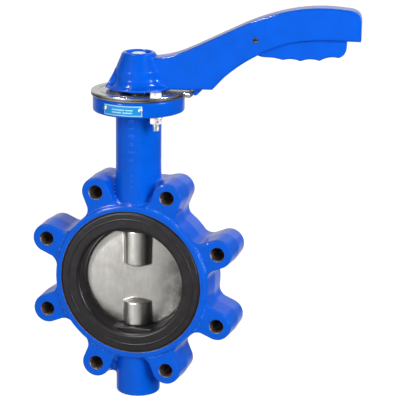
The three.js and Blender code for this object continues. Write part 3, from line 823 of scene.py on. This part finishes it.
def round_bar(name, radius, low, high, look):
    """A turned bar with its lower edge broken."""
    lead = 0.8
    profile = [(0, low), (radius - lead, low), (radius, low + lead), (radius, high), (0, high)]
    return lathe(name, profile, [look], segments=72)


def bottom_plug():
    low, high = node_box("bottom_plug")
    plug = round_bar("bottom_plug_turned", high.x, low.z, high.z, zinc_plate)
    socket = prism("socket", hexagon(SCREW["flats"]), low.z - 1, low.z + 5, [zinc_plate])
    finished(carve(plug, socket), "valve_body", "bottom_plug")


def upper_stem():
    """Round through the neck, with a tongue in the disc, a thrust collar and a square under the lever."""
    low, high = node_box("upper_stem")
    radius, collar, drive = STEM["radius"], STEM["collar"], SOCKET["drive"] - 0.7
    start, above = DISC["hub_end"] + 1, high.z + 1
    profile = [(0, start), (radius - 0.5, start), (radius, start + 0.5), (radius, STEM["collar_low"])]
    profile += [(collar, STEM["collar_low"]), (collar, STEM["collar_high"]), (radius, STEM["collar_high"])]
    profile += [(radius, high.z - 0.8), (radius - 0.8, high.z), (0, high.z)]
    stem = lathe("upper_stem_turned", profile, [stem_steel], segments=72)
    carve(stem, box(drive, drive, low.z, start + 10, [stem_steel]), "UNION")
    wide, deep = 30, 10
    for side in range(4):
        flat = box(wide, deep, LEVER["base"], above, [stem_steel])
        placed(flat, turn_z(pi / 2 * side) @ shift(0, (STEM["square"] + deep) / 2))
        carve(stem, flat)
    carve(stem, post(SCREW["radius"] + 0.3, SCREW["hole_low"], above, [stem_steel], segments=40))
    finished(placed(stem, turn_z(OPENING)), "rotor", "upper_stem")


def lower_stem():
    low, high = node_box("lower_stem")
    stem = round_bar("lower_stem_turned", STEM["radius"], low.z, high.z, stem_steel)
    finished(stem, "rotor", "lower_stem")


# ---- Disc ----------------------------------------------------------------------


def disc_field(x, y, z):
    radius, stem_radius = np.hypot(x, z), np.hypot(x, y)
    taper = DISC["half"] - (DISC["half"] - DISC["rim_half"]) * np.minimum(radius / DISC["radius"], 1) ** 2
    shape = both(radius - DISC["radius"], np.abs(y) - taper, edge=1.7)
    slope = HUB_RISE / (DISC["hub"] - DISC["half"])
    for side, start in HUB_EDGE.items():
        height = side * z
        cone = start - HUB_RISE + (stem_radius - DISC["half"]) * slope - height
        end = np.maximum(cone / hypot(1, slope), height - DISC["hub_end"])
        hub = both(stem_radius - DISC["hub"], end, edge=0.7)
        shape = either(shape, hub, fillet=0.8)
    return both(shape, np.abs(z) - DISC["hub_end"], edge=0.6)


def disc():
    reach, end = DISC["radius"], DISC["hub_end"]
    low, high = (-reach, -DISC["hub"], -reach), (reach, DISC["hub"], reach)
    piece = casting("disc_casting", disc_field, low, high, 0.85, [disc_steel])
    floor_level = end - SOCKET["depth"] - SOCKET["spare"]
    carve(piece, box(SOCKET["drive"], SOCKET["drive"], floor_level, end + 1, [disc_steel]), sharp=60)
    carve(piece, post(SOCKET["round"], -BORE, -SOCKET["round_top"], [disc_steel]), sharp=60)
    finished(placed(piece, turn_z(OPENING)), "rotor", "disc")


# ---- Notch plate and fasteners -------------------------------------------------


def plate_outline():
    first, last = -SECTOR["margin"], (SECTOR["notches"] - 1) * SECTOR["pitch"] + SECTOR["margin"]
    corners = [polar(PLATE["radius"], a) for a in np.linspace(last, 360 + first, 140)]
    corners.append(polar(SECTOR["tip"], first))
    half = SECTOR["notch"] / 2
    for notch in range(SECTOR["notches"]):
        middle = notch * SECTOR["pitch"]
        corners.append(polar(SECTOR["tip"], middle - half))
        corners += [polar(SECTOR["root"], middle + side * half) for side in (-1, -0.4, 0.4, 1)]
        corners.append(polar(SECTOR["tip"], middle + half))
        if notch < SECTOR["notches"] - 1:
            gap = SECTOR["pitch"] - SECTOR["notch"]
            corners += [polar(SECTOR["tip"], middle + half + gap * share) for share in (0.33, 0.67)]
    return corners + [polar(SECTOR["tip"], last)]


def notch_plate():
    """Pressed plate with a toothed sector, a shallow step inside its rim, a dark seam and rolled edges."""
    low, high, step, radius = PLATE["low"], PLATE["high"], PLATE["step"], PLATE["radius"]
    looks = [plate_steel, spring_steel]
    plate = prism("notch_plate_pressed", plate_outline(), low, high, looks, edge=0.5, steps=3)
    deep, above = high - 0.45, high + 1
    corners = [(step - 0.7, deep), (step + 0.7, deep), (step + 1.1, above), (step - 1.1, above)]
    carve(plate, lathe("groove", rounded(corners, 0.4), [plate_steel], segments=160))
    seam = curved_panel(
        "seam", SEAM["azimuth"], SEAM["half_angle"], radius - SEAM["depth"], radius + 1,
        SEAM["low"], SEAM["high"], [spring_steel],
    )
    carve(plate, seam)
    carve(plate, post(PLATE["hole"], low - 1, above, [plate_steel], segments=96))
    for _, x, y in bolt_places():
        hole = post(BOLT["radius"] + 0.3, low - 1, above, [plate_steel], segments=40)
        carve(plate, placed(hole, shift(x, y)))
    finished(plate, "valve_body", "notch_plate")


def bolt_places():
    corner = FLANGE["circle"] * sqrt(0.5)
    return [("front", corner, -corner), ("rear", -corner, corner)]


def hex_piece(name, flats, low, high, look, chamfer_low=True):
    """A hexagon whose corners are turned off at its ends, as on a bolt head or nut."""
    blank = prism(name, hexagon(flats), low, high, [look])
    corner, face = flats / sqrt(3), flats / 2 * 0.97
    lead = (corner - face) * tan(radians(30))
    profile = [(0, low)]
    profile += [(face, low), (corner, low + lead)] if chamfer_low else [(corner + 1, low)]
    profile += [(corner, high - lead), (face, high), (0, high)]
    return carve(blank, lathe("turned", profile, [look]), "INTERSECT", sharp=25)


def plate_fasteners():
    """Two bolts down through the plate and the flange, each with a washer and a nut under the flange."""
    plate_top, flange_low, inner = PLATE["high"], FLANGE["low"], BOLT["radius"] + 0.3
    washer_low = flange_low - WASHER["thickness"]
    nut_low, flats, head_top = washer_low - BOLT["nut"], BOLT["flats"], plate_top + BOLT["head"]
    for side, x, y in bolt_places():
        spot = shift(x, y)
        turned = spot @ turn_z(radians(-15))
        bolt = hex_piece(f"plate_bolt_{side}_hex", flats, plate_top, head_top, zinc_plate, chamfer_low=False)
        root = plate_top + 0.5
        shank = thread("shank", BOLT, BOLT["tip"], root, [zinc_plate], segments=36, rows=6, lead=0.8)
        carve(bolt, shank, "UNION", sharp=35)
        finished(placed(bolt, turned), "valve_body", f"plate_bolt_{side}")
        corners = rounded(rectangle((inner, washer_low), (WASHER["radius"], flange_low)), 0.3)
        washer = lathe(f"plate_washer_{side}_round", corners, [zinc_plate], segments=64)
        finished(placed(washer, spot), "valve_body", f"plate_washer_{side}")
        nut = hex_piece(f"plate_nut_{side}_hex", flats, nut_low, washer_low, zinc_plate)
        carve(nut, post(inner, nut_low - 1, washer_low + 1, [zinc_plate], segments=36), sharp=25)
        finished(placed(nut, turned), "valve_body", f"plate_nut_{side}")


def curved_panel(name, azimuth, half_angle, inner, outer, low, high, looks, edge=0.0):
    sweep = np.radians(np.linspace(azimuth - half_angle, azimuth + half_angle, 41))
    return prism(name, band(inner, outer, sweep), low, high, looks, edge=edge)


def rating_plate():
    """The rating plate, rolled to the flange: a pale border, a printed field and plain bars for print."""
    low, high = node_box("rating_plate")
    inner = FLANGE["radius"] + NAMEPLATE["gap"]
    outer, sunk = inner + NAMEPLATE["thickness"], inner + 0.2
    azimuth, middle, half_bar = NAMEPLATE["azimuth"], (low.z + high.z) / 2, 0.55
    half, border = degrees((high.x - low.x) / 2 / inner) * 1.01, NAMEPLATE["border"]
    plate = curved_panel(
        "rating_plate_foil", azimuth, half, inner, outer - 0.15, low.z, high.z, [label_pale], edge=0.1
    )
    field = curved_panel(
        "field", azimuth, half - 1.2, sunk, outer - 0.05, low.z + border, high.z - border, [label_blue]
    )
    carve(plate, field, "UNION", sharp=30)
    for start, length, offset in PRINT_BARS:
        along, level = azimuth + start + length / 2, middle + offset
        bar = curved_panel(
            "bar", along, length / 2, sunk, outer, level - half_bar, level + half_bar, [label_pale]
        )
        carve(plate, bar, "UNION", sharp=30)
    finished(plate, "valve_body", "rating_plate")


def plate_rivets():
    spread, radius, tall = 22.5, 1.9, 1.1
    face = FLANGE["radius"] + NAMEPLATE["gap"] + NAMEPLATE["thickness"] + 0.1
    dome = [(0, face), *arc((0, face), (radius, tall), np.linspace(0, pi / 2, 8)[:-1]), (0, face + tall)]
    for side, name in ((-1, "rating_plate_rivet_left"), (1, "rating_plate_rivet_right")):
        low, high = node_box(name)
        rivet = lathe(f"{name}_dome", dome, [zinc_plate], axis="Y", segments=32)
        angle = radians(NAMEPLATE["azimuth"] + side * spread - 90)
        placed(rivet, shift(0, 0, (low.z + high.z) / 2) @ turn_z(angle))
        finished(rivet, "valve_body", name)


# ---- Hand lever ----------------------------------------------------------------

ARM_TOP = (
    ((201.3, 257.3), (187, 257.5)), ((160, 261), (130, 257.1), (96, 241.5)), ((54, 221),),
    ((42, 215.6), (34, 211), (16, 209)), ((0, 209),),
)
ARM_OUTLINE = outline(
    (0, LEVER["base"]), ((48, LEVER["base"]),), ((56, 181.3),), ((68.5, 181.3),), ((79, 192.8),),
    ((92, 204.7), (108, 215.1), (128, 222.5)), ((140, 227.2), (155, 229.2), (175, 229.4)),
    ((ARM["length"], 229.1),), ((ARM["length"], 246.5),), *ARM_TOP,
)
FAR_BELOW = 120
ROOF_OUTLINE = outline((0, FAR_BELOW), ((ARM["length"], FAR_BELOW),), ((ARM["length"], 246.5),), *ARM_TOP)
GRIP_OUTLINE = outline(
    (103, 218), ((108, 212.2), (116, 212.2)), ((124, 212.5), (131.5, 210.2)),
    ((139.5, 212.6), (147.5, 209.6)), ((156, 213.3), (164.5, 210.4)), ((173, 215.6), (181.3, 213.6)),
    ((188.6, 215.6), (188.6, 224.5)), ((188.6, 236),), ((176, 239),), ((112, 236),), ((103, 232), (103, 218)),
)
BAR_OUTLINE = outline(
    (50.9, 174.9), ((53.8, 174.9),), ((60.3, 181.5),), ((64.9, 187.5),), ((82, 201),), ((102, 216.5),),
    ((118, 216),), ((118, 236),), ((103, 236),), ((84, 220),), ((56.9, 196),), ((50.9, 188),),
)


def lever_field():
    """The hub with its foot and the rib away from the arm, and the arm as a channel open below."""
    arm_flat, roof_flat = Flat(ARM_OUTLINE), Flat(ROOF_OUTLINE)
    base, top, waist_z = LEVER["base"], LEVER["top"], LEVER["waist_z"]
    foot_top = base + FOOT["thickness"]
    rise, run = top - waist_z, LEVER["waist"] - LEVER["top_radius"]
    rib_slope = (waist_z - foot_top) / (FOOT["radius"] - LEVER["waist"] - 0.5)

    def hub(x, y, z, radius):
        cone = ((radius - LEVER["top_radius"]) * rise + (z - top) * run) / hypot(rise, run)
        drum = both(both(cone, radius - LEVER["waist"]), between(z, base, top), edge=1.5)
        foot = both(radius - FOOT["radius"], between(z, base, foot_top), edge=1.3)
        rib_top = ((-x - FOOT["radius"] + 1) * rib_slope + z - foot_top) / hypot(1, rib_slope)
        rib = both(both(rib_top, np.abs(y) - RIB_HALF, edge=1.4), np.maximum(x, base - z), edge=0.5)
        return either(either(drum, foot, fillet=8), np.maximum(rib, z - waist_z), fillet=1.8)

    def field(x, y, z):
        radius = np.hypot(x, y)
        blade = both(arm_flat(x, z), np.abs(y) - ARM["half"], edge=2.6)
        whole = either(hub(x, y, z, radius), blade, fillet=2.2)
        inside = both(roof_flat(x, z) + ARM["roof"], np.abs(y) - ARM["half"] + ARM["wall"], edge=2)
        whole = less(whole, both(inside, between(x, *CHANNEL), edge=3), edge=0.8)
        under_foot = both(radius - FOOT["hollow"], z - base - FOOT["hollow_roof"], edge=1)
        under_hub = both(radius - HUB_HOLLOW["radius"], z - base - HUB_HOLLOW["roof"], edge=2)
        whole = less(whole, either(under_foot, under_hub, fillet=2), edge=0.6)
        return less(whole, both(radius - RECESS, LEVER["seat"] - z, edge=1), edge=1.2)

    return field


def lever_arm():
    reach, crest = 32, 261
    low, high = (-reach, -reach, LEVER["base"]), (ARM["length"], reach, crest)
    lever = casting("hand_lever_casting", lever_field(), low, high, 0.95, [lever_paint, iron])
    side = STEM["square"] + 0.6
    carve(lever, box(side, side, LEVER["base"] - 1, LEVER["top"] + 1, [iron]), sharp=50)
    carve(lever, across_arm(PIVOT["hole"], 2 * ARM["half"], iron), sharp=50)
    finished(placed(lever, turn_z(OPENING)), "rotor", "lever_arm")


def across_arm(radius, width, look, bore=0):
    """A bar, or a tube, across the arm at the latch's pivot."""
    past = 0 if bore else 2
    half = width / 2 + past
    corners = rectangle((bore, -half), (radius, half))
    pin = lathe("cross_pin", rounded(corners, 0.3) if bore else corners, [look], axis="Y", segments=48)
    return placed(pin, shift(PIVOT["along"], 0, PIVOT["z"]))


def latch_field():
    grip_flat, bar_flat = Flat(GRIP_OUTLINE), Flat(BAR_OUTLINE)

    def field(x, y, z):
        grip = both(grip_flat(x, z), np.abs(y) - LATCH["grip_half"], edge=2.2)
        bar = both(bar_flat(x, z), np.abs(y) - LATCH["bar_half"], edge=0.9)
        return either(grip, bar, fillet=2)

    return field


def latch_trigger():
    latch = casting("latch_casting", latch_field(), LATCH["low"], LATCH["high"], 0.8, [latch_paint, iron])
    carve(latch, across_arm(PIVOT["pin"] + 0.15, 30, iron), sharp=50)
    finished(placed(latch, turn_z(OPENING)), "latch", "latch_trigger")


def pivot_pin():
    """A rolled spring pin: a tube with a slit along it."""
    sunk, slit_half = 0.8, 0.35
    pin = across_arm(PIVOT["pin"], 2 * (ARM["half"] - sunk), spring_steel, bore=PIVOT["pin_bore"])
    slit = box(2, 2 * ARM["half"], -slit_half, slit_half, [spring_steel])
    carve(pin, placed(slit, shift(PIVOT["along"] + PIVOT["pin"], 0, PIVOT["z"])))
    pin.name = "latch_pivot_spring_pin"
    finished(placed(pin, turn_z(OPENING)), "rotor", "latch_pivot_pin")


def latch_spring():
    """Round wire wound in five turns; the real spring shortens as the grip rises, but this mesh stays at one
    length.
    """
    sides, steps = 12, 48 * SPRING["turns"]
    length, wire = SPRING["high"] - SPRING["low"], SPRING["wire"]
    points = []
    for i in range(steps + 1):
        share = i / steps
        angle = 2 * pi * SPRING["turns"] * share
        lift = SPRING["low"] + wire + (length - 2 * wire) * share
        for j in range(sides):
            around = 2 * pi * j / sides
            reach = SPRING["radius"] + wire * cos(around)
            height = lift + wire * sin(around)
            points.append((SPRING["along"] + reach * cos(angle), reach * sin(angle), height))
    faces = [
        (i * sides + j, (i + 1) * sides + j, (i + 1) * sides + (j + 1) % sides, i * sides + (j + 1) % sides)
        for i in range(steps)
        for j in range(sides)
    ]
    faces += [tuple(range(sides)), tuple(range(steps * sides, (steps + 1) * sides))[::-1]]
    spring = mesh_object("latch_return_spring", points, faces, [spring_steel])
    finished(placed(spring, turn_z(OPENING)), "rotor", "latch_spring")
    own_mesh(spring)


def lever_screw():
    low, high = node_box("lever_screw")
    seat = high.z - SCREW["head"]
    head = hex_piece("lever_screw_hex", SCREW["flats"], seat, high.z, zinc_plate, chamfer_low=False)
    carve(head, thread("shank", SCREW, low.z, seat + 0.5, [zinc_plate], rows=6), "UNION", sharp=35)
    finished(placed(head, turn_z(OPENING)), "rotor", "lever_screw")


def lever_washer():
    low, high = node_box("lever_washer")
    corners = rounded(rectangle((SCREW["radius"] + 0.3, low.z), (high.x, high.z)), 0.4)
    washer = lathe("lever_washer_round", corners, [zinc_plate], segments=72)
    finished(washer, "rotor", "lever_washer")


# ---- Studio --------------------------------------------------------------------

CAMERA = {"place": (0.5169, -1.5249, 0.5055), "aim": (0.0611, -0.0050, 0.0798), "roll": 0.63, "lens": 161.35}


def camera():
    data = bpy.data.cameras.new("camera")
    data.lens, data.sensor_width = CAMERA["lens"], 36
    data.clip_end = 100
    obj = bpy.data.objects.new("camera", data)
    bpy.context.collection.objects.link(obj)
    place, aim = Vector(CAMERA["place"]), Vector(CAMERA["aim"])
    turned = (aim - place).to_track_quat("-Z", "Y").to_matrix().to_4x4()
    obj.matrix_world = Matrix.Translation(place) @ turned @ turn_z(radians(CAMERA["roll"]))
    bpy.context.scene.camera = obj


def softbox(name, place, aim, size, power, mirrored):
    """A soft light that lights surfaces, or if mirrored only glints in them."""
    data = bpy.data.lights.new(name, "AREA")
    data.shape, data.size, data.size_y, data.energy = "RECTANGLE", *size, power
    obj = bpy.data.objects.new(name, data)
    bpy.context.collection.objects.link(obj)
    obj.location = place
    obj.rotation_mode = "QUATERNION"
    obj.rotation_quaternion = (Vector(aim) - Vector(place)).to_track_quat("-Z", "Y")
    obj.visible_glossy = mirrored
    obj.visible_diffuse = not mirrored
    obj.visible_camera = False


def world():
    """Soft room light: a bright wall behind, a low one in front to the left, dim elsewhere."""
    made = bpy.data.worlds.new("studio")
    bpy.context.scene.world = made
    room = Nodes(made)
    direction = room.node("ShaderNodeTexCoord").outputs["Generated"]

    def lobe(toward, start, full, low, high):
        """Light from low to high, as a direction's share of toward passes from start to full."""
        share = room.node("ShaderNodeVectorMath", operation="DOT_PRODUCT")
        room.feed(share.inputs[0], direction)
        room.feed(share.inputs[1], toward)
        return room.spread(share.outputs["Value"], low, high, start, full, interpolation_type="SMOOTHSTEP")

    up, back, left, low_front = (0, 0, 1), (0, 1, 0), (-1, 0, 0), (-0.4, -0.85, -0.3)
    wall = room.times(lobe(up, 0.04, 0.2, 0.6, 1), lobe(up, 0.5, 0.85, 1, 0.12))
    wall = room.times(wall, lobe(back, -0.1, 0.6, 0, 0.85))
    wall = room.times(wall, lobe(left, -0.38, -0.2, 0.15, 1))
    low_wall = room.times(lobe(left, -0.85, 0.2, 0.4, 0.65), lobe(low_front, 0.3, 0.85, 0, 1))
    light = room.plus(room.plus(wall, low_wall), lobe(up, -1, 1, 0.08, 0.12))
    background = room.tree.nodes["Background"]
    room.feed(background.inputs["Color"], (1, 1, 1, 1))
    room.feed(background.inputs["Strength"], light)


def floor():
    """A pale floor that runs up into a domed backdrop, seen only by the camera so that it tints nothing."""
    ground, reach, bend = BOSS["low"], 9000, 3000
    rise = arc((reach, ground + bend), (bend, bend), np.linspace(0.1 - pi / 2, 0, 10))
    profile = [(0, ground), (reach, ground), *rise, (0, reach + ground)]
    backdrop = lathe("studio_floor", profile, [floor_look()], segments=64)
    backdrop.visible_diffuse = backdrop.visible_glossy = False
    backdrop.visible_shadow = False


def floor_look():
    s = Shader("studio_floor")
    tone = s.mix(s.spread(s.noise(400, 3), 0, 0.5), (0.3, 0.3, 0.3), (0.32, 0.32, 0.32))
    glow = {"Emission Color": (1, 1, 1, 1), "Emission Strength": 0.9, "Specular IOR Level": 0.0}
    return s.finish(tone, 0.9, glow)


LIGHTS = {
    "key": {"place": (-1.1, -1.7, 1.3), "size": (1.2, 1.2), "power": 12},
    "fill": {"place": (1.75, -1.15, 0.8), "size": (1.0, 1.4), "power": 47},
    "rear": {"place": (1.2, 1.7, 0.9), "size": (1.0, 1.2), "power": 11},
}
GLINTS = {
    "low_left": {"place": (-0.94, -1.77, 0.45), "size": (0.3, 0.25), "power": 45},
    "low_right": {"place": (1.96, -0.38, 0.45), "size": (0.3, 0.25), "power": 45},
    "high_left": {"place": (-0.77, -0.2, 2.03), "size": (1.0, 0.25), "power": 90},
    "high_right": {"place": (1.28, 0.2, 1.72), "size": (0.4, 0.25), "power": 60},
}


def studio():
    camera()
    world()
    floor()
    for name, light in LIGHTS.items():
        softbox(name, aim=(0, 0, 0.05), mirrored=False, **light)
    for name, light in GLINTS.items():
        softbox(name, aim=(0, 0, 0.12), mirrored=True, **light)
    bpy.context.scene.view_settings.view_transform = "Standard"


studio()
body_casting()
seat_liner()
stem_collars()
retaining_ring()
bottom_plug()
upper_stem()
lower_stem()
disc()
notch_plate()
plate_fasteners()
rating_plate()
plate_rivets()
lever_arm()
latch_trigger()
pivot_pin()
latch_spring()
lever_screw()
lever_washer()
